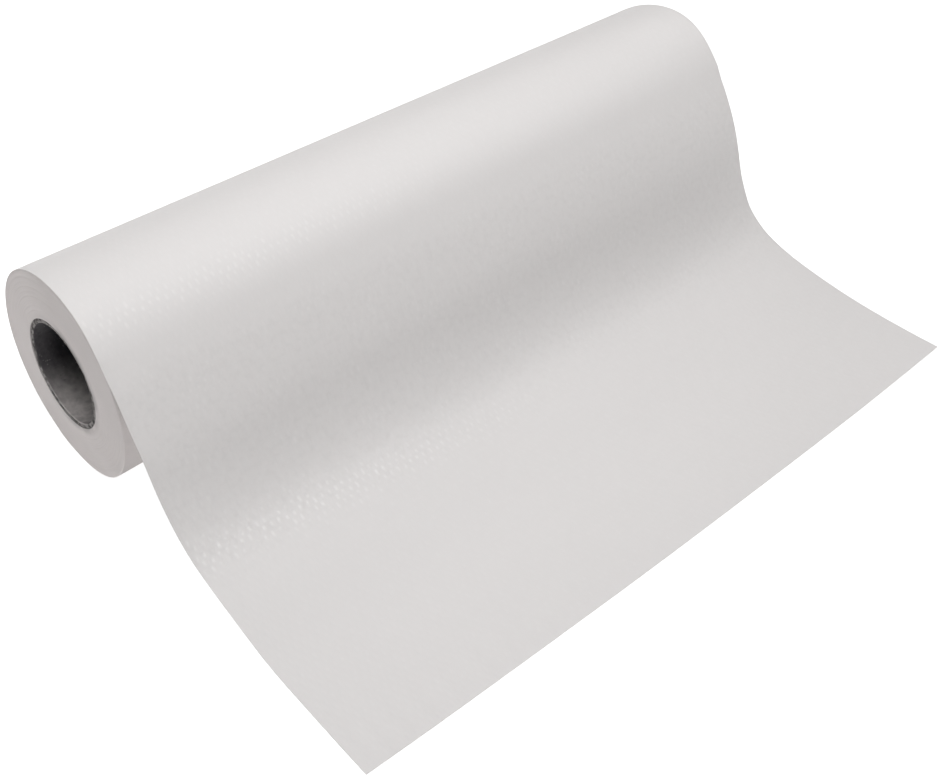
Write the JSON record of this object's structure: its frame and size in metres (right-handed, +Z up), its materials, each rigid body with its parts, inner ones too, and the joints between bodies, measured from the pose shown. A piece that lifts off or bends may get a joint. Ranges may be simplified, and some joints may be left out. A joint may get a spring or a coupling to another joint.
{
  "type": "exam table paper roll",
  "caption": "Soft roll of white embossed paper on a grey chipboard core, lying on its side with its free sheet drawn out over the table.",
  "frame": {"origin": "middle of the core's bore, on the roll's axis; the table top is 60.5 mm below it", "axes": "+X along the roll, -Y towards the free sheet's cut edge, +Z up"},
  "size_m": [0.5, 0.3285, 0.122],
  "materials": {
    "chipboard": "raw grey chipboard, spiral wound",
    "embossed_paper": "matt off-white two-ply paper with a fine diamond emboss"
  },
  "bodies": {
    "root": {"core_tube": "chipboard", "paper_roll": "embossed_paper"}
  },
  "joints": []
}
